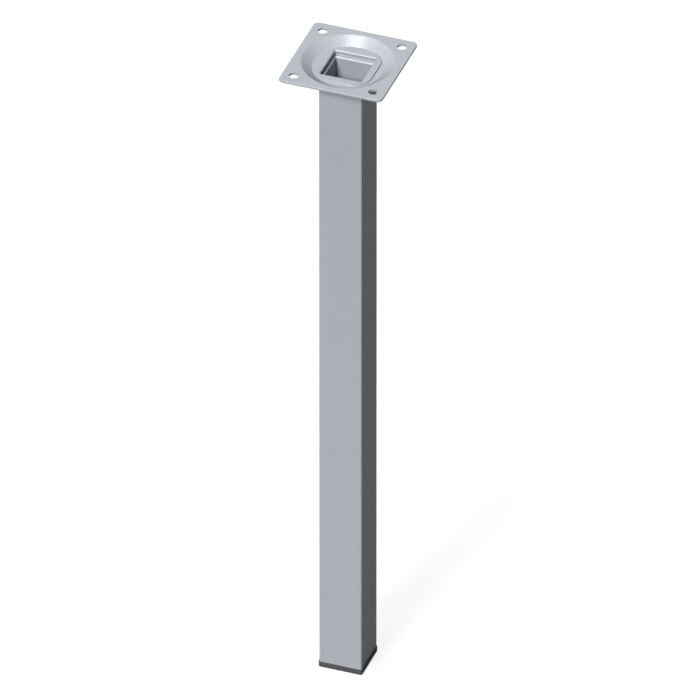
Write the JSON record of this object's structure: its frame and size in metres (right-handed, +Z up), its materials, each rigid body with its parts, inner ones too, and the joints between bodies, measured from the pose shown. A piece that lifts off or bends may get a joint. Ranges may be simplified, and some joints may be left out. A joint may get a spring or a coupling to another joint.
{
  "type": "square table leg",
  "caption": "Square steel table leg: a plain tube welded under a dished square fixing plate with corner screw holes, closed at the foot by a push-in plastic cap.",
  "frame": {"origin": "centre of the foot cap's underside, where the leg meets the floor", "axes": "+Z up along the tube to the fixing plate; +X and +Y square to the tube's sides and the plate's edges"},
  "size_m": [0.06, 0.06, 0.4],
  "materials": {
    "coat": "satin grey powder coat",
    "cap": "fine-grained matt black"
  },
  "bodies": {
    "root": {"leg_tube": "coat", "mounting_plate": "coat", "weld_bead": "coat", "foot_cap": "cap"}
  },
  "joints": []
}
